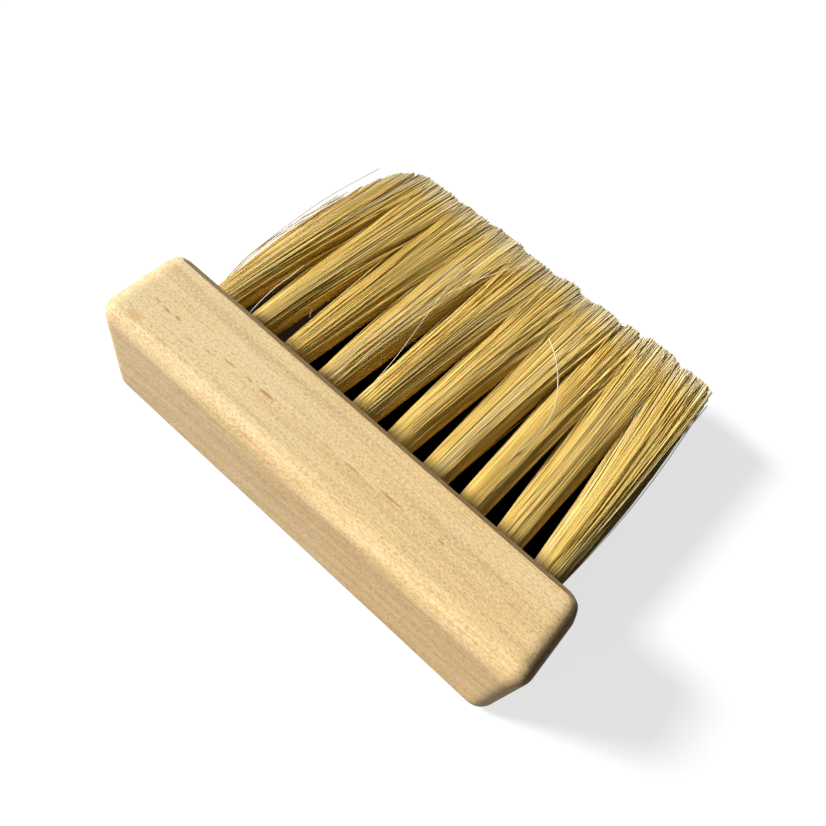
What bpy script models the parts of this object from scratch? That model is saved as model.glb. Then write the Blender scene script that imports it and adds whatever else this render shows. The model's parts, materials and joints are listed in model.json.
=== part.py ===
"""Bee brush: a rounded beech block drilled with one row of blind holes, a bristle tuft in each hole,
and a flat-wire anchor that traps the fold of each tuft.

Metres, +Z up. The brush lies on one side face of its block. X runs along the block and +Y is the way
the bristles point. The origin is the centre of the side face that the brush lies on.
"""

import math

import bmesh
import bpy
from mathutils import Matrix, Vector

# Block
BLOCK_LENGTH = 0.140
BLOCK_DEPTH = 0.027  # from the back face to the bristle face
BLOCK_THICKNESS = 0.040
EDGE_RADIUS = 0.0055  # back edges and end edges
FRONT_RADIUS = 0.0025  # two long edges beside the bristles, under their chamfers
EDGE_SEGMENTS = 5
CHAMFER = 0.0022  # cut off both faces at each of those two edges

# Row of holes
END_MARGIN = 0.011  # from a block end to the middle of the nearest hole
HOLE_DIAMETER = 0.0085
HOLE_DEPTH = 0.015
HOLE_SIDES = 24

# Bristles: each tuft is a packed root in its hole and rings of strands that fan out above it
TUFT_LENGTHS = (  # of each tuft, free of the block
    0.0855, 0.0848, 0.0851, 0.0860, 0.0848,
    0.0855, 0.0860, 0.0866, 0.0883, 0.0874,
)
TIP_HEIGHT = 0.016  # of a tuft at its tips, across the block's thickness
TUFT_LEANS = (  # of each tuft's tips, along X
    0.0065, 0.0055, 0.0037, 0.0050, 0.0050,
    0.0052, 0.0042, 0.0018, -0.0020, -0.0030,
)
LEAN_GROWTH = 1.5  # a tuft leans more and more towards its tips, by this power of the way along it
CORNER_WIDTH = 0.013  # of the round corner that wear left on the first tuft's outer tips, along the block
CORNER_DEPTH = 0.022  # of that corner, along the bristles
STRAND_RINGS = 3  # rings of strands round a middle one
RING_STEP = 6  # strands in the first ring, and how many more each further ring has
STRAND_SIDES = 3
STRAND_FILL = 0.56  # width of a strand as a share of the distance between strands
STRAND_SINK = 0.002  # how deep the strands reach into the packed root

# Anchors: flat wire set across the hole, with the tuft folded round it
ANCHOR_GAUGE = 0.0006
ANCHOR_WIDTH = 0.0022
ANCHOR_BITE = 0.0010  # into the wood at each end
ANCHOR_EDGE = 0.00015  # broken edge of the wire
FOLD_THICKNESS = 0.0025  # bristles folded under the anchor

# Gap between pieces that touch on the real brush
CLEARANCE = 0.0003

# Colours, as red, green and blue with roughness and metallic value
BEECH = ((0.66, 0.48, 0.29), 0.55, 0.0)
STRAW = ((0.56, 0.41, 0.16), 0.45, 0.0)
STEEL = ((0.55, 0.55, 0.54), 0.35, 1.0)

# Places and sizes that follow from the dimensions above
TUFT_COUNT = len(TUFT_LENGTHS)
ROW_HEIGHT = BLOCK_THICKNESS / 2
BRISTLE_FACE = BLOCK_DEPTH / 2
TUFT_PITCH = (BLOCK_LENGTH - 2 * END_MARGIN) / (TUFT_COUNT - 1)
ROOT_RADIUS = HOLE_DIAMETER / 2 - CLEARANCE
ROOT_LENGTH = HOLE_DEPTH - CLEARANCE
ANCHOR_LENGTH = HOLE_DIAMETER + 2 * ANCHOR_BITE
ANCHOR_OFFSET = FOLD_THICKNESS + CLEARANCE + ANCHOR_WIDTH / 2 - ROOT_LENGTH  # from the bristle face
ANCHOR_SIZE = Vector((ANCHOR_GAUGE, ANCHOR_WIDTH, ANCHOR_LENGTH))
ANCHOR_SEAT = ANCHOR_SIZE + Vector((2 * CLEARANCE, 2 * CLEARANCE, 2 * CLEARANCE))
ALONG_Y = Matrix.Rotation(-math.pi / 2, 4, "X")  # turns a shape that stands on Z to point along Y


def clear_scene():
    for obj in list(bpy.data.objects):
        bpy.data.objects.remove(obj, do_unlink=True)


def new_collection(name):
    collection = bpy.data.collections.new(name)
    bpy.context.scene.collection.children.link(collection)
    return collection


def new_material(name, look):
    colour, roughness, metallic = look
    material = bpy.data.materials.new(name)
    material.use_nodes = True
    shader = material.node_tree.nodes["Principled BSDF"]
    shader.inputs["Base Color"].default_value = (*colour, 1)
    shader.inputs["Roughness"].default_value = roughness
    shader.inputs["Metallic"].default_value = metallic
    material.diffuse_color = (*colour, 1)
    return material


def new_mesh(name, bm):
    mesh = bpy.data.meshes.new(name)
    bm.to_mesh(mesh)
    bm.free()
    return mesh


def place(name, mesh, collection, location=(0, 0, 0)):
    obj = bpy.data.objects.new(name, mesh)
    obj.location = location
    collection.objects.link(obj)
    return obj


def as_cutter(obj):
    obj.hide_render = True
    obj.display_type = "WIRE"
    return obj


def add_boolean(obj, name, operation, other):
    """Cuts or joins with another object, or with every object of a collection."""
    modifier = obj.modifiers.new(name, "BOOLEAN")
    modifier.operation = operation
    modifier.solver = "EXACT"
    if isinstance(other, bpy.types.Collection):
        modifier.operand_type = "COLLECTION"
        modifier.collection = other
    else:
        modifier.object = other


def add_bevel(obj, width, segments, limit="ANGLE"):
    modifier = obj.modifiers.new("rounded edges", "BEVEL")
    modifier.width = width
    modifier.segments = segments
    modifier.limit_method = limit


def shade(mesh, sharp_angle=math.radians(35)):
    mesh.shade_smooth()
    mesh.set_sharp_from_angle(angle=sharp_angle)


def box_mesh(name, size):
    bm = bmesh.new()
    bmesh.ops.create_cube(bm, size=1, matrix=Matrix.Diagonal((*size, 1)))
    return new_mesh(name, bm)


def rod_mesh(name, radius, low, high):
    """A round bar about Y, from low to high along it."""
    bm = bmesh.new()
    middle = Matrix.Translation((0, (low + high) / 2, 0))
    bmesh.ops.create_cone(
        bm,
        cap_ends=True,
        segments=HOLE_SIDES,
        radius1=radius,
        radius2=radius,
        depth=high - low,
        matrix=middle @ ALONG_Y,
    )
    return new_mesh(name, bm)


def tuft_place(number):
    """Middle of a tuft's hole along the block. Tufts count from 0."""
    return END_MARGIN - BLOCK_LENGTH / 2 + number * TUFT_PITCH


def tip_place(number):
    return tuft_place(number) + TUFT_LEANS[number]


def tip_width(number):
    """Width of a tuft at its tips along the block, where it opens until it meets its neighbours."""
    neighbours = [other for other in (number - 1, number + 1) if 0 <= other < TUFT_COUNT]
    nearest = min(abs(tip_place(number) - tip_place(other)) for other in neighbours)
    return min(TIP_HEIGHT, nearest - CLEARANCE)


def wear(tip):
    """What wear took off a strand whose tip stands at that place along the block."""
    row_end = tip_place(0) - tip_width(0) / 2
    inside = min(max(row_end + CORNER_WIDTH - tip, 0) / CORNER_WIDTH, 1)
    return CORNER_DEPTH * (1 - math.sqrt(1 - inside**2))


def strand_places():
    """Middles of a tuft's strands across it, in units of the distance between strands."""
    yield 0.0, 0.0
    for ring in range(1, STRAND_RINGS + 1):
        count = RING_STEP * ring
        for step in range(count):
            angle = 2 * math.pi * step / count
            yield ring * math.cos(angle), ring * math.sin(angle)


def tip_spacing(number):
    """Distance between a tuft's strands at their tips, along the block and across it."""
    reach = STRAND_RINGS + STRAND_FILL / 2  # from the middle of the unit bundle to its outer edge
    return tip_width(number) / 2 / reach, TIP_HEIGHT / 2 / reach


def fan(point, number):
    """Moves a point of the unit bundle to its place in a tuft, at its distance from the bristle face."""
    rim = STRAND_RINGS + 1 / 2  # keeps the outer strands half a space inside the edge of the root
    root_spacing = ROOT_RADIUS / rim
    along, across = tip_spacing(number)
    share = point.y / TUFT_LENGTHS[number]
    lean = TUFT_LEANS[number] * max(share, 0) ** LEAN_GROWTH
    x = point.x * (root_spacing + (along - root_spacing) * share) + lean
    z = point.z * (root_spacing + (across - root_spacing) * share)
    return Vector((x, point.y, z))


def strands_mesh(name, number):
    """All strands of one tuft: straight bars in a unit bundle, jointed halfway and then fanned out."""
    bm = bmesh.new()
    along, _ = tip_spacing(number)
    for across, up in strand_places():
        length = TUFT_LENGTHS[number] - wear(tip_place(number) + across * along) + STRAND_SINK
        bmesh.ops.create_cone(
            bm,
            cap_ends=True,
            segments=STRAND_SIDES,
            radius1=STRAND_FILL / 2,
            radius2=STRAND_FILL / 2,
            depth=length,
            matrix=Matrix.Translation((across, length / 2 - STRAND_SINK, up)) @ ALONG_Y,
        )
    everything = bm.verts[:] + bm.edges[:] + bm.faces[:]
    halfway = Vector((0, TUFT_LENGTHS[number] / 2, 0))
    bmesh.ops.bisect_plane(bm, geom=everything, plane_co=halfway, plane_no=(0, 1, 0))
    for vert in bm.verts:
        vert.co = fan(vert.co, number)
    bmesh.ops.triangulate(bm, faces=bm.faces[:])
    return new_mesh(name, bm)


def tuft_mesh(name, number, root_mesh, slot_mesh, helpers):
    """The packed root with its slot for the anchor, fused with its strands. Y is 0 at the bristle face."""
    root = place(f"{name}_root", root_mesh, helpers)
    slot = place(f"{name}_slot", slot_mesh, helpers, (0, ANCHOR_OFFSET, 0))
    strands = place(f"{name}_strands", strands_mesh(f"{name}_strands", number), helpers)
    for helper in (root, slot, strands):
        as_cutter(helper)
    add_boolean(root, "anchor slot", "DIFFERENCE", slot)
    add_boolean(root, "strands", "UNION", strands)
    bpy.context.view_layer.update()
    graph = bpy.context.evaluated_depsgraph_get()
    mesh = bpy.data.meshes.new_from_object(root.evaluated_get(graph))
    mesh.name = name
    shade(mesh)
    return mesh


def weigh_edges(mesh):
    """Gives each edge of the block its radius, as a share of the largest."""
    weights = mesh.attributes.new("bevel_weight_edge", "FLOAT", "EDGE")
    for edge, weight in zip(mesh.edges, weights.data):
        start, end = [mesh.vertices[i].co for i in edge.vertices]
        beside_bristles = start.y > 0 and end.y > 0 and start.x != end.x
        weight.value = FRONT_RADIUS / EDGE_RADIUS if beside_bristles else 1


def place_chamfers(cutters):
    """Square bars on edge, each with one flat where it cuts a chamfer beside the bristles."""
    side = 4 * CHAMFER
    bar = box_mesh("chamfer", (BLOCK_LENGTH + side, side, side))
    outward = side / 2 - CHAMFER / math.sqrt(2)  # from the block's edge to the middle of the bar
    for name, up in (("chamfer_upper", 1), ("chamfer_lower", -1)):
        edge = Vector((0, BRISTLE_FACE, ROW_HEIGHT + up * BLOCK_THICKNESS / 2))
        direction = Vector((0, 1, up)).normalized()
        cutter = as_cutter(place(name, bar, cutters, edge + outward * direction))
        cutter.rotation_euler.x = math.pi / 4


def build_block(parts, chamfer_cutters, hole_cutters, seat_cutters, places):
    block = place("block", box_mesh("block", (BLOCK_LENGTH, BLOCK_DEPTH, BLOCK_THICKNESS)), parts)
    block.location.z = ROW_HEIGHT
    weigh_edges(block.data)
    add_bevel(block, EDGE_RADIUS, EDGE_SEGMENTS, "WEIGHT")
    place_chamfers(chamfer_cutters)
    add_boolean(block, "chamfers", "DIFFERENCE", chamfer_cutters)
    hole = rod_mesh("hole", HOLE_DIAMETER / 2, -HOLE_DEPTH, HOLE_DEPTH)
    seat = box_mesh("anchor_seat", ANCHOR_SEAT)
    for number, spot in enumerate(places, start=1):
        as_cutter(place(f"hole_{number:02d}", hole, hole_cutters, spot))
        seat_place = spot + Vector((0, ANCHOR_OFFSET, 0))
        as_cutter(place(f"anchor_seat_{number:02d}", seat, seat_cutters, seat_place))
    add_boolean(block, "tuft holes", "DIFFERENCE", hole_cutters)
    add_boolean(block, "anchor seats", "DIFFERENCE", seat_cutters)
    shade(block.data)
    block.data.materials.append(new_material("beech", BEECH))


def build_tufts(parts, helpers, places):
    material = new_material("bristle", STRAW)
    root_mesh = rod_mesh("tuft_root", ROOT_RADIUS, -ROOT_LENGTH, 0)
    slot_mesh = box_mesh("anchor_slot", ANCHOR_SEAT)
    for number, spot in enumerate(places):
        name = f"tuft_{number + 1:02d}"
        mesh = tuft_mesh(name, number, root_mesh, slot_mesh, helpers)
        mesh.materials.append(material)
        place(name, mesh, parts, spot)


def build_anchors(parts, places):
    mesh = box_mesh("anchor", ANCHOR_SIZE)
    mesh.materials.append(new_material("anchor_steel", STEEL))
    for number, spot in enumerate(places, start=1):
        anchor = place(f"anchor_{number:02d}", mesh, parts, spot + Vector((0, ANCHOR_OFFSET, 0)))
        add_bevel(anchor, ANCHOR_EDGE, 1)


def main():
    clear_scene()
    parts = new_collection("bee_brush")
    chamfer_cutters = new_collection("chamfer_cutters")
    hole_cutters = new_collection("hole_cutters")
    seat_cutters = new_collection("seat_cutters")
    tuft_helpers = new_collection("tuft_helpers")
    places = [Vector((tuft_place(i), BRISTLE_FACE, ROW_HEIGHT)) for i in range(TUFT_COUNT)]
    build_block(parts, chamfer_cutters, hole_cutters, seat_cutters, places)
    build_tufts(parts, tuft_helpers, places)
    build_anchors(parts, places)
    brush = bpy.data.objects.new("bee_brush", None)
    parts.objects.link(brush)
    for obj in parts.objects:
        if obj is not brush:
            obj.parent = brush


main()
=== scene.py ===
"""Looks of the bee brush: a sanded beech block and ten tufts of fine bristles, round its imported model.

Metres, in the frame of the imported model: X runs along the block, +Y is the way the bristles point and
+Z is up. The brush lies on one side face of its block.
"""

import json
import math

import bmesh
import bpy
import numpy as np
from mathutils import Matrix, Vector, noise

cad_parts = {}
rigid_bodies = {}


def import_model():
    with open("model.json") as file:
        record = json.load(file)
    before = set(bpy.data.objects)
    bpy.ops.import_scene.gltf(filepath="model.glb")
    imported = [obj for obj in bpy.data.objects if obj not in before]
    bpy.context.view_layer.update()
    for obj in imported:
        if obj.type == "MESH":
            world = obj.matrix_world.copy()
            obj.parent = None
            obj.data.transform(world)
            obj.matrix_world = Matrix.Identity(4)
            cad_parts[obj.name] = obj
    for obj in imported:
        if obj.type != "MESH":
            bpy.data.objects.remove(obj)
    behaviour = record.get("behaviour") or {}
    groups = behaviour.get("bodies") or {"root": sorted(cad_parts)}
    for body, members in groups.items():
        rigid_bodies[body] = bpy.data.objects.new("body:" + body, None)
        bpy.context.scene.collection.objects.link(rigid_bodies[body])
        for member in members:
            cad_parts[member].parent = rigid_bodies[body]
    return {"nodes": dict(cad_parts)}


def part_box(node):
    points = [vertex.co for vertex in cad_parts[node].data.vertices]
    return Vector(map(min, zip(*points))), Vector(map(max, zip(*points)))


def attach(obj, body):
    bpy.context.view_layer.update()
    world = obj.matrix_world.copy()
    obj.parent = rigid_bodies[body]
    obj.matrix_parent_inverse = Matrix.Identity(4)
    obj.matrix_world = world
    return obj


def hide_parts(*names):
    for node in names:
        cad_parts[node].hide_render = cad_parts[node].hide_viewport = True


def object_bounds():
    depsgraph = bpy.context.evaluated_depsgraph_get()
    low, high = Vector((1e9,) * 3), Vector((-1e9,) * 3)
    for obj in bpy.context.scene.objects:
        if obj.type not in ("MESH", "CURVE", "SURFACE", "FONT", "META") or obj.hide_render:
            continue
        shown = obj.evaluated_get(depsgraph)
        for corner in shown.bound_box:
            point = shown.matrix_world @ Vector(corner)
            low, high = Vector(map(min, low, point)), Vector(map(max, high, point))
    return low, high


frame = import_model()
cad_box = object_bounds()

MM = 0.001
IN_MM = (1 / MM, 1 / MM, 1 / MM)
TINY = 0.001 * MM  # points closer than this are one

# Sizes of the block that its box doesn't give
EDGE_RADIUS = 5.5 * MM  # back edges and end edges
FRONT_RADIUS = 2.5 * MM  # two long edges beside the bristles, under their chamfers
CHAMFER = 2.2 * MM  # cut off both faces at each of those two edges
EDGE_STEPS = 10
SHARP_ANGLE = math.radians(25)  # edges steeper than this stay sharp
HOLE_RADIUS = 4.25 * MM
HOLE_DEPTH = 15 * MM
HOLE_SIDES = 40
RIM_CHAMFER = 0.35 * MM
CLEARANCE = 0.3 * MM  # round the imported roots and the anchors

# Faces of the block, and how uneven its sanding left it
FLAT_STEP = 3 * MM
SANDING_DEPTH = 0.06 * MM
SANDING_LENGTH = 14 * MM
GRAIN_DEPTH = 0.06 * MM  # of the grain's bumps

# Flecks of the upper side face, in mm: place along and across the block, half length, half width, strength
FLECKS = [
    (-59.5, -1.9, 1.1, 0.32, 0.60),
    (-55.7, -2.3, 1.6, 0.36, 0.75),
    (-52.0, -2.0, 1.4, 0.36, 0.75),
    (-45.4, -4.2, 1.5, 0.30, 0.45),
    (-39.6, -3.3, 1.6, 0.30, 0.50),
    (-33.9, -1.8, 1.9, 0.38, 0.65),
    (-27.0, -1.5, 1.6, 0.32, 0.65),
    (-21.2, -1.4, 3.0, 0.42, 0.90),
    (-1.3, -1.0, 1.8, 0.32, 0.50),
    (7.4, -1.0, 3.2, 0.36, 0.60),
    (19.2, -0.3, 4.4, 0.36, 0.80),
    (34.5, -0.1, 1.2, 0.42, 0.75),
    (56.2, -0.2, 2.6, 0.36, 0.50),
]

# Broader spots of the same face, in the same terms
SPOTS = [
    (-59.8, -9.2, 2.6, 1.4, 0.60),
    (-50.1, -9.4, 1.3, 0.5, 0.40),
    (29.1, 3.4, 1.4, 0.7, 0.30),
]

# Bristles
STRANDS = 2850  # in a tuft
ROOT_GIRTH = 0.080 * MM  # radius of a bristle at its root
TIP_GIRTH = 0.122 * MM  # and at its tip, where it also stands for split ends
GIRTH_RANGE = (0.85, 1.15)  # of single bristles, times those
STRAND_SIDES = 4
STRAND_RINGS = 9
SINK = 2.5 * MM  # of the bristles below the bristle face
ROOT_TOP = 1.5 * MM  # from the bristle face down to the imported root
ROOT_SIDES = 32

# Form of a tuft
ROOT_SPREAD = 4.05 * MM  # half the width of a tuft where it leaves its hole
TIP_SPREAD = 7.6 * MM  # half its width at its tips, on sides without a neighbour
OVERLAP = 1.6 * MM  # of a tuft's tips into each neighbour
SPREAD_GROWTH = 1.15  # a tuft opens more and more towards its tips
SQUARING = 0.75  # of a tuft's section where its neighbours press on it, at its tips
SQUARING_ZONE = (0.40, 1.0)  # shares of the length between which that sets in
BELLY = 1.9 * MM  # of the first and the last tuft, halfway along their outer sides
RIM_CROWDING = 0.33  # 0.5 spreads the bristles evenly, less puts more of them near the outside
PLACE_JITTER = 0.02  # of the bristles' places, as a share of the half width

# Length of each tuft, and how far it leans along the block at its tips
LENGTHS = np.array([85.5, 84.8, 85.1, 86.0, 84.8, 85.5, 86.0, 86.6, 88.3, 87.4]) * MM
LEANS = np.array([6.5, 5.5, 3.7, 5.0, 5.0, 5.2, 4.2, 1.8, -2.0, -3.0]) * MM
LEAN_GROWTH = 1.5
CROWN = 0.9 * MM  # by which the tips at a tuft's sides fall short of those in its middle
CROWN_GROWTH = 3
UNEVEN = 0.12 * MM  # spread of the bristles' lengths
SHORT_SHARE = 0.04  # of bristles that end early
SHORT_BY = (1 * MM, 9 * MM)

# Locks of bristles that cling together in a tuft
LOCKS = 15
LOCK_JITTER = 0.10  # of their places, as a share of the half width
LOCK_PULL = 0.12  # towards the middle of the lock
LOCK_CLOSING = (0.04, 0.55)  # shares of the length between which the pull sets in
LOCK_OPENING = (0.65, 1.0)  # and between which it eases off
LOCK_EASING = 0.6
LOCK_UNEVEN = 0.20 * MM  # spread of the locks' lengths

# How far bristles part from their tuft, as spreads sideways
BOW = 0.12 * MM  # halfway along
DRIFT = 0.21 * MM  # at the tips
DRIFT_GROWTH = 2
LOCK_DRIFT = 0.32 * MM  # at the tips, of a whole lock
LOCK_DRIFT_GROWTH = 1.5
LOOSE_SHARE = 0.07  # of bristles that stand off
LOOSE_BOW = (4.0, 7.0)  # times as much along the block and up
LOOSE_DRIFT = (8.0, 7.0)
LOOSE_SHORT_BY = 2.5 * MM

# Tints of the bristles: 0 is the darkest and 1 the lightest
MIDDLE_TINT = 0.5
TINT_SPREAD = 0.115
LOCK_TINT_SPREAD = 0.06
UNDERSIDE_PAINTED_SHADE = 0.22  # painted shade: by which the tints of the bristles on a tuft's underside are darkened
UNDERSIDE_SHADE_ZONE = (-0.3, 0.5)  # shares of the half width below its middle between which that sets in
TOP_TINT = 0.999
TINT_TURN = 100  # radians from tint 0 to 1, by which the sections of the bristles are turned
TINTS = 64  # columns of the maps
MAP_MARGIN = 0.1  # of a column, on each of its sides
MAP_CAP = 0.02  # share of a column's height that a bristle's end cap takes
SEED = 11

# Round corner that wear left on the first tuft's outer tips
CORNER_WIDTH = 15 * MM
CORNER_DEPTH = 30 * MM

# Stray bristles: how light and how thick they are beside the others
STRAY_TINT = 0.98
STRAY_GIRTH = 1.4
STRAY_RINGS = 29

# Their routes by tuft, as places in mm: along the block, from the bristle face, above the middle of the row
STRAYS = {
    0: [
        [(-62.2, 0, 1), (-65.1, 19.9, 2.5), (-64.7, 38.4, 5), (-64.1, 52.7, 6), (-60.7, 73.9, 8)],
        [(-62.1, 0, 1), (-65.4, 20.1, 2), (-65.2, 31.7, 3), (-63.7, 45.2, 5), (-61.5, 60.5, 6)],
        [(-62.1, 0, 1), (-65.2, 20.0, 2), (-65.4, 30.1, 3), (-63.6, 41.1, 5), (-62.3, 56.4, 6.5)],
        [(-62.3, 0, 0), (-65.2, 21.3, 1.5), (-64.9, 35.0, 3.5), (-63.2, 46.7, 5), (-61.2, 58, 6)],
        [(-62.2, 0, 0), (-64.9, 21.9, 2), (-64.6, 32.8, 3), (-63.6, 39.9, 4), (-61.4, 54.5, 5)],
    ],
    1: [
        [(-49.2, 0, 2), (-50.8, 12, 3), (-51.0, 18.5, 4), (-50.7, 24, 4.5), (-50.9, 30, 4.5)],
        [(-42.5, 0, 0), (-42.3, 12, 1), (-41.6, 18.5, 2.5), (-39.9, 21.9, 2), (-38.6, 20, 0.5)],
    ],
    3: [
        [(-17, 0, 3), (-16.6, 30, 6), (-14.7, 50.7, 7), (-10.5, 64.8, 8), (-4.4, 79.9, 8)],
    ],
    4: [
        [(-9.6, 0, 2), (-10.4, 24, 5.5), (-12.8, 38.5, 6.5), (-16.2, 58, 7.7), (-17.2, 64, 8.2)],
    ],
    7: [
        [(33, 0, 3), (32.6, 26.5, 5.5), (33.7, 33.6, 7.5), (32.8, 41.6, 9.5), (27.6, 50.8, 11.5),
         (23.6, 54.8, 12.5), (17.6, 60.2, 11.5)],
    ],
}

WIRE_LINE_DEPTH = 0.01 * MM  # of the lines that the die left on the anchors

# Floor
FLOOR_RADIUS = 3.0
FLOOR_SIDES = 64
FLOOR_DROP = 0.1 * MM  # below the brush
FLOOR_GLOW = 0.73  # with the lamps' light, this makes it white
ROW_LEFT = (-71.0, -66.0)  # mm along the block between which the painted shadow under the row sets in
ROW_RIGHT = (66.0, 60.0)  # and from its other end
ROW_NEAR = (-8.0, 4.0)  # mm across it, from the back of the block
ROW_FAR = (104.0, 74.0)  # and from beyond the tips
SHADE_REACH = 120 * MM  # how far off something still closes the floor in
SHADE_ZONE = (0.95, 0.78)  # shares of open sky between which the painted shadow sets in
SHADE_SAMPLES = 16

# Camera
CAMERA_PLACE = Vector((44.76, -71.49, 211.37)) * MM
CAMERA_AIM = Vector((3.28, 31.98, 20.0)) * MM
CAMERA_ROLL = math.radians(21.419)
CAMERA_LENS = 34.288
CAMERA_SENSOR = 36.0
CAMERA_NEAR = 10 * MM

# Light
KEY_FROM = Vector((-1.28, -0.62, 1.0))
KEY_STRENGTH = 5.60
KEY_SOFTNESS = math.radians(12)
FILL_FROM = Vector((-0.35, -1.0, 0.35))
FILL_STRENGTH = 0.70
FILL_SOFTNESS = math.radians(40)
REAR_FROM = Vector((0, 1.0, 0.12))
REAR_STRENGTH = 0.5
REAR_SOFTNESS = math.radians(40)
WORLD_LEVEL = 0.01


def middle_of(node):
    low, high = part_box(node)
    return (low + high) / 2


block_low, block_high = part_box("block")
block_size = block_high - block_low
block_middle = middle_of("block")
bristle_face = block_high.y
tuft_names = sorted(name for name in frame["nodes"] if name.startswith("tuft_"))
anchor_names = sorted(name for name in frame["nodes"] if name.startswith("anchor_"))
holes = [middle_of(name) for name in anchor_names]  # each anchor is in the middle of a hole


class Shader:
    """Short calls that build the nodes of one material."""

    def __init__(self, name):
        self.material = bpy.data.materials.new(name)
        self.material.use_nodes = True
        self.tree = self.material.node_tree
        self.surface = self.tree.nodes["Principled BSDF"]

    def node(self, kind, inputs=(), **settings):
        made = self.tree.nodes.new(kind)
        for name, value in settings.items():
            setattr(made, name, value)
        for key, value in dict(inputs).items():
            self.feed(made.inputs[key], value)
        return made

    def feed(self, socket, value):
        if isinstance(value, bpy.types.NodeSocket):
            self.tree.links.new(value, socket)
        elif socket.type == "RGBA" and len(value) == 3:
            socket.default_value = (*value, 1)
        else:
            socket.default_value = value

    def coordinates(self, output):
        return self.node("ShaderNodeTexCoord").outputs[output]

    def scaled(self, vector, factors):
        made = self.node("ShaderNodeVectorMath", {0: vector, 1: factors}, operation="MULTIPLY")
        return made.outputs[0]

    def shifted(self, vector, offset):
        made = self.node("ShaderNodeVectorMath", {0: vector, 1: offset}, operation="ADD")
        return made.outputs[0]

    def length(self, vector):
        made = self.node("ShaderNodeVectorMath", {0: vector}, operation="LENGTH")
        return made.outputs["Value"]

    def split(self, vector):
        return self.node("ShaderNodeSeparateXYZ", {0: vector}).outputs

    def math(self, operation, *values):
        return self.node("ShaderNodeMath", dict(enumerate(values)), operation=operation).outputs[0]

    def noise(self, vector, scales, detail=2.0, roughness=0.5, distortion=0.0):
        """Noise at its own scale along each axis."""
        inputs = {"Vector": self.scaled(vector, scales), "Scale": 1.0, "Detail": detail}
        inputs.update({"Roughness": roughness, "Distortion": distortion})
        return self.node("ShaderNodeTexNoise", inputs).outputs[0]

    def ease(self, value, low, high, to_low=0.0, to_high=1.0):
        """Goes smoothly from to_low to to_high as value goes from low to high."""
        inputs = {"Value": value, "From Min": low, "From Max": high, "To Min": to_low, "To Max": to_high}
        return self.node("ShaderNodeMapRange", inputs, interpolation_type="SMOOTHSTEP").outputs[0]

    def mix(self, factor, first, second, blend="MIX"):
        inputs = {0: factor, 6: first, 7: second}
        return self.node("ShaderNodeMix", inputs, data_type="RGBA", blend_type=blend).outputs[2]

    def darkened(self, factor, colour, tone):
        """The colour times the tone, as far as the factor says."""
        return self.mix(factor, colour, self.mix(1.0, colour, tone, "MULTIPLY"))

    def bump(self, height, depth):
        made = self.node("ShaderNodeBump", {"Height": height, "Distance": depth, "Strength": 1.0})
        return made.outputs["Normal"]

    def set(self, **sockets):
        for name, value in sockets.items():
            self.feed(self.surface.inputs[name.replace("_", " ").title()], value)

    def set_specular(self, level):
        self.surface.inputs["Specular IOR Level"].default_value = level


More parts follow.
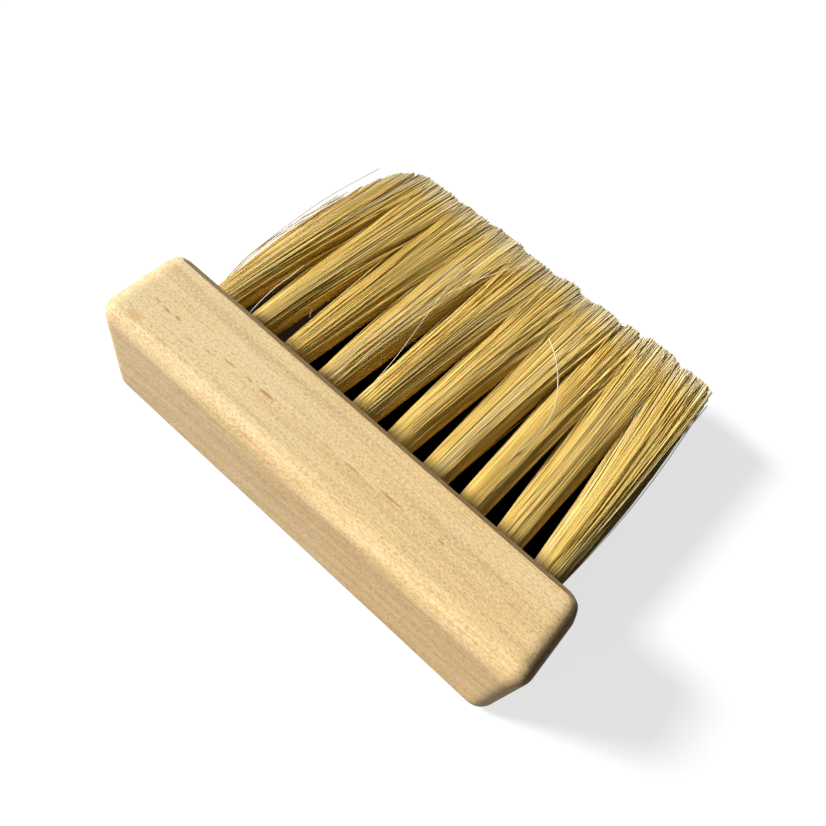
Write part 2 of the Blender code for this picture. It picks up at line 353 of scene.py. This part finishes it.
def beech():
    """Pale sanded beech with streaks along it, a fine mottle on every face, and flecks and spots on the
    upper side face. End grain is darker, and painted shade darkens the bristle side. Scales are per mm."""
    pale = (0.740, 0.580, 0.318)
    warm = (0.775, 0.542, 0.248)
    shade = (0.482, 0.318, 0.154)
    light = (0.805, 0.648, 0.387)
    rosy = (0.985, 0.900, 0.890)
    fleck = (0.473, 0.218, 0.091)
    spot = (0.564, 0.337, 0.127)
    end_grain = (0.84, 0.74, 0.60)
    # painted shade for the side that the bristles stand in
    painted_front_shade = (0.74, 0.70, 0.66)
    s = Shader("beech")

    def grained(colour, pattern, darker, lighter):
        """Shades the pattern's heights and lightens its lows: where each starts and ends, and how far."""
        for tone, (start, end, strength) in ((shade, darker), (light, lighter)):
            colour = s.mix(s.ease(pattern, start, end, 0.0, strength), colour, tone)
        return colour

    point = s.scaled(s.coordinates("Object"), IN_MM)
    place = s.split(point)
    normal = s.split(s.coordinates("Normal"))
    on_end = s.ease(s.math("ABSOLUTE", normal[0]), 0.55, 0.95)
    on_back = s.ease(s.math("ABSOLUTE", normal[1]), 0.45, 0.85)  # and on the bristle side

    # The wood is paler at one end, and its back is a little rosier
    paling_ends = (-75.0, 60.0)
    paling_waver = 120.0
    broad = s.noise(point, (0.014, 0.14, 0.12), detail=3.0, roughness=0.55)
    way = s.math("ADD", place[0], s.math("MULTIPLY", s.math("SUBTRACT", broad, 0.5), paling_waver))
    colour = s.mix(s.ease(way, *paling_ends), pale, warm)
    colour = s.darkened(on_back, colour, rosy)

    # Streaks and broader bands run along the block, and rise a little across the back
    back_slope = -0.14
    sway = s.noise(point, (0.02, 0.10, 0.10), detail=2.0)
    rise = s.math("MULTIPLY", s.math("MULTIPLY", place[0], on_back), back_slope)
    tilted = s.shifted(point, s.node("ShaderNodeCombineXYZ", {2: rise}).outputs[0])
    swayed = s.shifted(s.scaled(tilted, (0.035, 1.0, 1.0)), s.scaled(sway, (0, 1.6, 1.6)))
    lines = s.noise(swayed, (1, 1.1, 1.1), detail=3.0, roughness=0.65)
    colour = grained(colour, lines, (0.46, 0.76, 0.55), (0.50, 0.24, 0.55))
    bands = s.noise(swayed, (0.4, 0.30, 0.30), detail=2.0)
    colour = grained(colour, bands, (0.46, 0.74, 0.42), (0.50, 0.26, 0.50))

    # Short fibres mottle every face
    fibre = s.noise(point, (1.2, 2.4, 2.4), detail=2.0, roughness=0.6, distortion=0.4)
    colour = grained(colour, fibre, (0.46, 0.76, 0.80), (0.54, 0.26, 0.90))

    # Flecks and spots lie on the upper side face, with wavering soft rims
    rim = (1.25, 0.35)  # shares of a mark's half size between which it sets in
    upper = s.ease(normal[2], 0.45, 0.85)
    waver = s.noise(point, (0.9, 0.9, 0.9), detail=2.0)
    wavered = s.shifted(point, s.scaled(s.math("SUBTRACT", waver, 0.5), (1.0, 0.8, 0)))
    for marks, tone in ((FLECKS, fleck), (SPOTS, spot)):
        cover = 0.0
        for x, y, half_length, half_width, strength in marks:
            away = s.shifted(wavered, (-x, -y, 0))
            away = s.length(s.scaled(away, (1 / half_length, 1 / half_width, 0)))
            cover = s.math("MAXIMUM", cover, s.ease(away, *rim, 0.0, strength))
        colour = s.mix(s.math("MULTIPLY", cover, upper), colour, tone)

    # End grain is darker; the side that the bristles stand in, chamfers too, is darkened with painted shade
    colour = s.darkened(on_end, colour, end_grain)
    colour = s.darkened(s.ease(normal[1], 0.45, 0.68), colour, painted_front_shade)
    s.set(base_color=colour, roughness=s.ease(fibre, 0.3, 0.7, 0.46, 0.62))
    s.set(normal=s.bump(s.math("ADD", lines, fibre), GRAIN_DEPTH))
    s.set_specular(0.06)
    return s.material


def straw():
    """Straw-coloured filament. The map named strand gives each bristle's tint and the way along it."""
    dark = (0.560, 0.335, 0.050)
    middle = (0.860, 0.645, 0.196)
    light = (0.800, 0.715, 0.520)
    pale_tip = (0.805, 0.740, 0.550)
    tip_zone = (0.88, 1.0)  # shares of the length
    tip_strength = 0.65
    s = Shader("straw")
    strand = s.split(s.node("ShaderNodeUVMap", uv_map="strand").outputs[0])
    tint, along = strand[0], strand[1]
    colour = s.mix(s.ease(tint, 0.0, MIDDLE_TINT), dark, middle)
    colour = s.mix(s.ease(tint, MIDDLE_TINT, 1.0), colour, light)
    colour = s.mix(s.ease(along, *tip_zone, 0.0, tip_strength), colour, pale_tip)
    s.set(base_color=colour, roughness=s.ease(tint, 0.0, 1.0, 0.50, 0.36))
    s.set_specular(0.03)
    return s.material


def drawn_steel():
    """Bright flat wire with fine lines from the die along it."""
    dull = (0.42, 0.42, 0.41)
    bright = (0.66, 0.66, 0.65)
    s = Shader("drawn_steel")
    lines = s.noise(s.coordinates("Object"), (9000, 9000, 350), detail=3.0)
    s.set(base_color=s.mix(lines, dull, bright), metallic=1.0)
    s.set(roughness=s.ease(lines, 0.3, 0.7, 0.26, 0.44), normal=s.bump(lines, WIRE_LINE_DEPTH))
    return s.material


def pale_floor():
    """A pale matt floor, with a painted shadow only where the row of tufts closes it in. It throws little
    light back up.
    """
    # Painted shadow colour of the floor under the row
    painted_shadow_colour = (0.013, 0.009, 0.005)
    pale = (0.28, 0.28, 0.28)
    s = Shader("pale_floor")
    path = s.node("ShaderNodeLightPath").outputs
    seen = s.math("MAXIMUM", path["Is Camera Ray"], path["Is Glossy Ray"])
    seen = s.math("MAXIMUM", seen, path["Is Transmission Ray"])
    place = s.split(s.scaled(s.coordinates("Object"), IN_MM))
    under = 1.0
    for axis, zone in ((0, ROW_LEFT), (0, ROW_RIGHT), (1, ROW_NEAR), (1, ROW_FAR)):
        under = s.math("MULTIPLY", under, s.ease(place[axis], *zone))
    sky = s.node("ShaderNodeAmbientOcclusion", {"Distance": SHADE_REACH}, samples=SHADE_SAMPLES)
    # Painted shadow: under the row, where little open sky is left, the floor turns nearly black and stops
    # glowing
    painted_shadow_cover = s.math("MULTIPLY", under, s.ease(sky.outputs["AO"], *SHADE_ZONE))
    bright = s.math("MULTIPLY", s.math("SUBTRACT", 1.0, painted_shadow_cover), seen)
    s.set(base_color=s.mix(bright, painted_shadow_colour, pale), roughness=0.9)
    s.set(emission_color=(1, 1, 1), emission_strength=s.math("MULTIPLY", bright, FLOOR_GLOW))
    s.set_specular(0.0)
    return s.material


def new_object(name, mesh, material):
    mesh.materials.clear()
    mesh.materials.append(material)
    obj = bpy.data.objects.new(name, mesh)
    bpy.context.scene.collection.objects.link(obj)
    return obj


def as_mesh(name, bm):
    mesh = bpy.data.meshes.new(name)
    bm.to_mesh(mesh)
    bm.free()
    return mesh


def evaluated_mesh(obj):
    bpy.context.view_layer.update()
    return bpy.data.meshes.new_from_object(obj.evaluated_get(bpy.context.evaluated_depsgraph_get()))


def rounded_block_mesh():
    """The block about its own middle, with its edges rounded."""
    bm = bmesh.new()
    bmesh.ops.create_cube(bm, size=1, matrix=Matrix.Diagonal((*block_size, 1)))
    weight = bm.edges.layers.float.new("bevel_weight_edge")
    for edge in bm.edges:
        start, end = [vert.co for vert in edge.verts]
        beside_bristles = start.y > 0 and end.y > 0 and start.x != end.x
        edge[weight] = FRONT_RADIUS / EDGE_RADIUS if beside_bristles else 1
    block = bpy.data.objects.new("rounded", as_mesh("rounded", bm))
    bpy.context.scene.collection.objects.link(block)
    rounding = block.modifiers.new("rounded edges", "BEVEL")
    rounding.width = EDGE_RADIUS
    rounding.segments = EDGE_STEPS
    rounding.limit_method = "WEIGHT"
    mesh = evaluated_mesh(block)
    bpy.data.objects.remove(block)
    return mesh


def bisect(bm, place, direction, **settings):
    everything = bm.verts[:] + bm.edges[:] + bm.faces[:]
    return bmesh.ops.bisect_plane(bm, geom=everything, plane_co=place, plane_no=direction, **settings)


def cut_chamfers(bm):
    """Takes a flat off each of the two long edges beside the bristles."""
    for up in (1, -1):
        rim_place = Vector((0, block_size.y / 2, up * (block_size.z / 2 - CHAMFER)))
        cut = bisect(bm, rim_place, (0, 1, up), clear_outer=True)
        rim = [part for part in cut["geom_cut"] if isinstance(part, bmesh.types.BMEdge)]
        bmesh.ops.contextual_create(bm, geom=rim)


def sanded_block_mesh():
    """The rounded block with a grid of cuts on its flats, and the slight waves that sanding leaves."""
    bm = bmesh.new()
    bm.from_mesh(rounded_block_mesh())
    cut_chamfers(bm)
    for axis in range(3):
        direction = Vector((0, 0, 0))
        direction[axis] = 1
        half = block_size[axis] / 2
        steps = round(2 * half / FLAT_STEP)
        for step in range(1, steps):
            bisect(bm, direction * (-half + 2 * half * step / steps), direction)
    bm.normal_update()
    for vert in bm.verts:
        wave = noise.noise(vert.co / SANDING_LENGTH)
        vert.co -= vert.normal * SANDING_DEPTH * (0.5 + 0.5 * wave)
    return as_mesh("beech_block", bm)


def hole_mesh():
    """A drill's shape about Y, with a broken edge where it meets the bristle face at Y 0."""
    wide = HOLE_RADIUS + 2 * RIM_CHAMFER
    bm = bmesh.new()
    along_y = Matrix.Rotation(-math.pi / 2, 4, "X")
    profile = [(0, -HOLE_DEPTH), (HOLE_RADIUS, -HOLE_DEPTH), (HOLE_RADIUS, -RIM_CHAMFER)]
    profile += [(wide, RIM_CHAMFER), (wide, HOLE_DEPTH), (0, HOLE_DEPTH)]
    verts = [bm.verts.new((radius, 0, height)) for radius, height in profile]
    edges = [bm.edges.new(pair) for pair in zip(verts, verts[1:])]
    bmesh.ops.spin(
        bm,
        geom=verts + edges,
        axis=(0, 0, 1),
        cent=(0, 0, 0),
        angle=2 * math.pi,
        steps=HOLE_SIDES,
        use_merge=True,
    )
    bmesh.ops.remove_doubles(bm, verts=bm.verts[:], dist=TINY)
    bmesh.ops.recalc_face_normals(bm, faces=bm.faces[:])
    bmesh.ops.transform(bm, matrix=along_y, verts=bm.verts[:])
    return as_mesh("hole", bm)


def seat_mesh(node):
    """The notch that an anchor sits in."""
    low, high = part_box(node)
    size = high - low + Vector((2, 2, 2)) * CLEARANCE
    matrix = Matrix.Translation((low + high) / 2) @ Matrix.Diagonal((*size, 1))
    bm = bmesh.new()
    bmesh.ops.create_cube(bm, size=1, matrix=matrix)
    return as_mesh("seat", bm)


def build_block(material):
    block = new_object("beech_block", sanded_block_mesh(), material)
    block.location = block_middle
    cutters = bpy.data.collections.new("cutters")
    bpy.context.scene.collection.children.link(cutters)
    hole = hole_mesh()
    for middle in holes:
        cutter = bpy.data.objects.new("hole", hole)
        cutter.location = (middle.x, bristle_face, middle.z)
        cutters.objects.link(cutter)
    for node in anchor_names:
        cutters.objects.link(bpy.data.objects.new("seat", seat_mesh(node)))
    cut = block.modifiers.new("holes", "BOOLEAN")
    cut.operation = "DIFFERENCE"
    cut.operand_type = "COLLECTION"
    cut.collection = cutters
    cut.solver = "EXACT"
    mesh = evaluated_mesh(block)
    block.modifiers.clear()
    block.data = mesh
    mesh.transform(Matrix.Translation(block_middle))
    block.location = (0, 0, 0)
    mesh.shade_smooth()
    mesh.set_sharp_from_angle(angle=SHARP_ANGLE)
    for cutter in list(cutters.objects):
        bpy.data.objects.remove(cutter)
    bpy.data.collections.remove(cutters)
    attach(block, "root")
    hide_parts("block")


def smooth(value, low, high):
    share = np.clip((value - low) / (high - low), 0, 1)
    return share * share * (3 - 2 * share)


def spread_disc(count, rng, jitter):
    """Points spread over the unit disc, each moved a little."""
    index = np.arange(count) + 0.5
    radius = (index / count) ** RIM_CROWDING
    angle = index * math.pi * (3 - math.sqrt(5))
    points = np.stack([radius * np.cos(angle), radius * np.sin(angle)], axis=1)
    return points + rng.normal(0, jitter, points.shape)


def tip_reach(number, way):
    """Half width of a tuft's tips on one side along the block: way is -1 or 1."""
    if not 0 <= number + way < len(holes):
        return TIP_SPREAD
    tips = [holes[i].x + LEANS[i] for i in (number, number + way)]
    return abs(tips[1] - tips[0]) / 2 + OVERLAP


def wear(x):
    """What wear took off a bristle whose tip stands at that place along the block."""
    row_end = holes[0].x + LEANS[0] - TIP_SPREAD
    inside = np.clip((row_end + CORNER_WIDTH - x) / CORNER_WIDTH, 0, 1)
    return CORNER_DEPTH * (1 - np.sqrt(1 - inside**2))


def strand_lengths(number, rng, square, reach, lock, loose):
    """How far each bristle stands out of the bristle face."""
    ends_early = rng.random(STRANDS) < SHORT_SHARE
    short = np.where(ends_early, rng.uniform(*SHORT_BY, STRANDS), LOOSE_SHORT_BY * loose)
    uneven = rng.normal(0, UNEVEN, STRANDS) + rng.normal(0, LOCK_UNEVEN, LOCKS)[lock]
    crown = CROWN * np.abs(square[:, 0]) ** CROWN_GROWTH
    worn = wear(holes[number].x + LEANS[number] + square[:, 0] * reach)
    return LENGTHS[number] - worn - crown - short + uneven


def strand_tints(rng, disc, lock):
    tint = MIDDLE_TINT + rng.normal(0, TINT_SPREAD, STRANDS) + rng.normal(0, LOCK_TINT_SPREAD, LOCKS)[lock]
    # Painted shade: bristles on the tuft's underside get darker tints
    return np.clip(tint - UNDERSIDE_PAINTED_SHADE * smooth(-disc[:, 1], *UNDERSIDE_SHADE_ZONE), 0, TOP_TINT)


def strand_paths(number, rng):
    """Middles of a tuft's bristles, ring by ring, and each bristle's tint."""
    disc = spread_disc(STRANDS, rng, PLACE_JITTER)
    square = disc * (np.linalg.norm(disc, axis=1) / np.abs(disc).max(axis=1))[:, None]
    locks = spread_disc(LOCKS, rng, LOCK_JITTER)
    lock = np.argmin(((disc[:, None] - locks[None]) ** 2).sum(axis=2), axis=1)
    loose = rng.random(STRANDS) < LOOSE_SHARE
    bow = rng.normal(0, BOW, (STRANDS, 1, 2)) * np.where(loose[:, None], LOOSE_BOW, 1.0)[:, None]
    drift = rng.normal(0, DRIFT, (STRANDS, 1, 2)) * np.where(loose[:, None], LOOSE_DRIFT, 1.0)[:, None]
    lock_drift = rng.normal(0, LOCK_DRIFT, (LOCKS, 2))[lock][:, None]
    reach = np.where(disc[:, 0] < 0, tip_reach(number, -1), tip_reach(number, 1))
    tip_spread = np.stack([reach, np.full(STRANDS, TIP_SPREAD)], axis=1)[:, None]
    length = strand_lengths(number, rng, square, reach, lock, loose)

    # Way of each ring out of the bristle face, and its share of the tuft's length
    out = np.linspace(0, 1, STRAND_RINGS)[None] * (length[:, None] + SINK) - SINK
    free = np.clip(out / LENGTHS[number], 0, None)[:, :, None]
    halfway = np.sin(math.pi * np.clip(free, 0, 1))  # 0 at both ends, 1 between them

    # Place of each ring across the tuft: first in its section, then in metres
    spot = disc[:, None] + SQUARING * smooth(free, *SQUARING_ZONE) * (square - disc)[:, None]
    pull = LOCK_PULL * smooth(free, *LOCK_CLOSING) * (1 - LOCK_EASING * smooth(free, *LOCK_OPENING))
    spot = spot + pull * (locks[lock] - disc)[:, None]
    across = spot * (ROOT_SPREAD + free**SPREAD_GROWTH * (tip_spread - ROOT_SPREAD))
    across = across + bow * halfway + drift * free**DRIFT_GROWTH
    across = across + lock_drift * free**LOCK_DRIFT_GROWTH
    across = across + np.array([LEANS[number], 0]) * free**LEAN_GROWTH
    outward = {0: -1, len(holes) - 1: 1}.get(number, 0)
    outer = np.clip(outward * disc[:, :1], 0, None)[:, None]
    across = across + np.array([outward * BELLY, 0]) * outer * halfway
    x = holes[number].x + across[:, :, 0]
    z = holes[number].z + across[:, :, 1]
    return np.stack([x, bristle_face + out, z], axis=2), strand_tints(rng, disc, lock)


def stray_path(spots, height):
    """A bristle through the spots, on a smooth cubic between each two."""
    spots = np.array(spots, dtype=float) * MM
    spots = np.vstack([spots[0] - (0, SINK, 0), spots])
    steps = np.linalg.norm(np.diff(spots, axis=0), axis=1)
    along = np.concatenate([[0], np.cumsum(steps)])
    slopes = np.gradient(spots, along, axis=0)
    path = []
    for way in np.linspace(0, along[-1], STRAY_RINGS):
        i = min(int(np.searchsorted(along, way, side="right")) - 1, len(steps) - 1)
        t = (way - along[i]) / steps[i]
        start, end = spots[i], spots[i + 1]
        lead, trail = slopes[i] * steps[i], slopes[i + 1] * steps[i]
        path.append(
            (1 + 2 * t) * (1 - t) ** 2 * start
            + t * (1 - t) ** 2 * lead
            + t**2 * (3 - 2 * t) * end
            + t**2 * (t - 1) * trail
        )
    return np.array(path) + (0, bristle_face, height)


def strand_rings(paths, tint, girth):
    """Points of every bristle's skin, ring by ring."""
    tangent = np.gradient(paths, axis=1)
    tangent /= np.linalg.norm(tangent, axis=2, keepdims=True)
    side = np.cross(tangent, np.array([0.0, 0.0, 1.0]))
    side /= np.linalg.norm(side, axis=2, keepdims=True)
    top = np.cross(side, tangent)
    share = np.linspace(0, 1, paths.shape[1])
    radius = girth[:, None] * (ROOT_GIRTH + (TIP_GIRTH - ROOT_GIRTH) * share)[None]
    corner = np.arange(STRAND_SIDES)[None, None] * 2 * math.pi / STRAND_SIDES
    angle = tint[:, None, None] * TINT_TURN + corner
    ring = np.cos(angle)[..., None] * side[:, :, None] + np.sin(angle)[..., None] * top[:, :, None]
    return paths[:, :, None] + ring * radius[:, :, None, None]


def strand_faces(rings):
    """Faces of one bristle, by its points, and the places of their corners on its map."""
    share = np.linspace(0, 1, rings)
    quads, corners = [], []
    for step in range(rings - 1):
        low, high = step * STRAND_SIDES, (step + 1) * STRAND_SIDES
        bottom, top = share[step], share[step + 1]
        for edge in range(STRAND_SIDES):
            after = (edge + 1) % STRAND_SIDES
            quads.append((low + edge, high + edge, high + after, low + after))
            left, right = edge / STRAND_SIDES, (edge + 1) / STRAND_SIDES
            corners.append([(left, bottom), (left, top), (right, top), (right, bottom)])
    last = (rings - 1) * STRAND_SIDES
    quads.append(tuple(range(STRAND_SIDES)))
    corners.append([(0, 0), (0, MAP_CAP), (1, MAP_CAP), (1, 0)])
    quads.append(tuple(last + i for i in reversed(range(STRAND_SIDES))))
    corners.append([(0, 1 - MAP_CAP), (0, 1), (1, 1), (1, 1 - MAP_CAP)])
    return np.array(quads), np.array(corners)


def strand_mesh(paths, tint, girth):
    """Closed bristles along the paths, each with its own tint and girth, and with their two maps."""
    count, rings = paths.shape[:2]
    verts = strand_rings(paths, tint, girth)
    quads, corners = strand_faces(rings)
    offset = np.arange(count)[:, None, None] * rings * STRAND_SIDES
    faces = (quads[None] + offset).reshape(-1, 4)
    mesh = bpy.data.meshes.new("strands")
    mesh.from_pydata(verts.reshape(-1, 3), [], faces)

    # Bristles of one tint share a column: OFBake unrolls them over it, strand reads its middle
    column = np.floor(tint * TINTS)
    baked = np.repeat(corners[None], count, axis=0)
    read = baked.copy()
    margined = MAP_MARGIN + (1 - 2 * MAP_MARGIN) * baked[..., 0]
    baked[..., 0] = (column[:, None, None] + margined) / TINTS
    read[..., 0] = ((column + 0.5) / TINTS)[:, None, None]
    for layer, values in (("OFBake", baked), ("strand", read)):
        mesh.uv_layers.new(name=layer).data.foreach_set("uv", values.astype(np.float32).ravel())

    # Smooth round the bristles, with sharp edges at their end caps
    mesh.shade_smooth()
    ends = np.empty(len(mesh.edges) * 2, dtype=np.int32)
    mesh.edges.foreach_get("vertices", ends)
    ring_of_end = ends.reshape(-1, 2) // STRAND_SIDES % rings
    round_cap = (ring_of_end[:, 0] == ring_of_end[:, 1]) & np.isin(ring_of_end[:, 0], (0, rings - 1))
    mesh.attributes.new("sharp_edge", "BOOLEAN", "EDGE").data.foreach_set("value", round_cap)
    return mesh


def root_mesh(number):
    """The folded bundle packed in a hole, with its slot for the anchor."""
    radius = HOLE_RADIUS - CLEARANCE
    low, high = CLEARANCE - HOLE_DEPTH, -ROOT_TOP
    middle = Vector((holes[number].x, bristle_face + (low + high) / 2, holes[number].z))
    bm = bmesh.new()
    bmesh.ops.create_cone(
        bm,
        cap_ends=True,
        segments=ROOT_SIDES,
        radius1=radius,
        radius2=radius,
        depth=high - low,
        matrix=Matrix.Translation(middle) @ Matrix.Rotation(-math.pi / 2, 4, "X"),
    )
    root = bpy.data.objects.new("root", as_mesh("root", bm))
    slot = bpy.data.objects.new("slot", seat_mesh(anchor_names[number]))
    for obj in (root, slot):
        bpy.context.scene.collection.objects.link(obj)
    cut = root.modifiers.new("slot", "BOOLEAN")
    cut.operation = "DIFFERENCE"
    cut.object = slot
    cut.solver = "EXACT"
    mesh = evaluated_mesh(root)
    for obj in (root, slot):
        bpy.data.objects.remove(obj)
    return mesh


def add_to_tuft(number, kind, mesh, material):
    mesh.name = f"{kind}_{number + 1:02d}"
    piece = new_object(mesh.name, mesh, material)
    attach(piece, "root")
    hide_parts(tuft_names[number])


def build_tuft(number, material):
    rng = np.random.default_rng(SEED + number)
    paths, tint = strand_paths(number, rng)
    girth = rng.uniform(*GIRTH_RANGE, STRANDS)
    add_to_tuft(number, "bristles", strand_mesh(paths, tint, girth), material)
    add_to_tuft(number, "packed_root", root_mesh(number), material)
    if number in STRAYS:
        paths = np.array([stray_path(spots, holes[number].z) for spots in STRAYS[number]])
        tint = np.full(len(paths), STRAY_TINT)
        girth = np.full(len(paths), STRAY_GIRTH)
        add_to_tuft(number, "strays", strand_mesh(paths, tint, girth), material)


def build_floor(material):
    bm = bmesh.new()
    bmesh.ops.create_circle(bm, cap_ends=True, segments=FLOOR_SIDES, radius=FLOOR_RADIUS)
    floor = new_object("floor", as_mesh("floor", bm), material)
    floor.location.z = cad_box[0].z - FLOOR_DROP


def add_sun(name, place, strength, softness):
    light = bpy.data.lights.new(name, "SUN")
    light.energy = strength
    light.angle = softness
    obj = bpy.data.objects.new(name, light)
    obj.rotation_euler = place.to_track_quat("Z", "Y").to_euler()
    bpy.context.scene.collection.objects.link(obj)


def build_world():
    """White where the camera, gloss or glass sees it, and a weak light on everything else."""
    world = bpy.data.worlds.new("studio")
    world.use_nodes = True
    bpy.context.scene.world = world
    nodes, links = world.node_tree.nodes, world.node_tree.links
    path = nodes.new("ShaderNodeLightPath").outputs
    shown = path["Is Camera Ray"]
    for ray in ("Is Glossy Ray", "Is Transmission Ray"):
        either = nodes.new("ShaderNodeMath")
        either.operation = "MAXIMUM"
        links.new(shown, either.inputs[0])
        links.new(path[ray], either.inputs[1])
        shown = either.outputs[0]
    level = nodes.new("ShaderNodeMapRange")
    level.inputs["To Min"].default_value = WORLD_LEVEL
    level.inputs["To Max"].default_value = 1.0
    links.new(shown, level.inputs["Value"])
    background = nodes["Background"]
    background.inputs["Color"].default_value = (1, 1, 1, 1)
    links.new(level.outputs[0], background.inputs["Strength"])


def build_camera():
    camera = bpy.data.cameras.new("camera")
    camera.lens = CAMERA_LENS
    camera.sensor_width = CAMERA_SENSOR
    camera.clip_start = CAMERA_NEAR
    obj = bpy.data.objects.new("camera", camera)
    obj.location = CAMERA_PLACE
    facing = (CAMERA_AIM - CAMERA_PLACE).to_track_quat("-Z", "Y")
    obj.rotation_euler = (facing.to_matrix() @ Matrix.Rotation(CAMERA_ROLL, 3, "Z")).to_euler()
    bpy.context.scene.collection.objects.link(obj)
    bpy.context.scene.camera = obj


build_block(beech())
bristle_material = straw()
for tuft_number in range(len(tuft_names)):
    build_tuft(tuft_number, bristle_material)
steel = drawn_steel()
for anchor_name in anchor_names:
    anchor = frame["nodes"][anchor_name]
    anchor.data.materials.clear()
    anchor.data.materials.append(steel)
build_floor(pale_floor())
add_sun("key", KEY_FROM, KEY_STRENGTH, KEY_SOFTNESS)
add_sun("fill", FILL_FROM, FILL_STRENGTH, FILL_SOFTNESS)
add_sun("rear", REAR_FROM, REAR_STRENGTH, REAR_SOFTNESS)
build_world()
build_camera()
bpy.context.scene.view_settings.view_transform = "Standard"
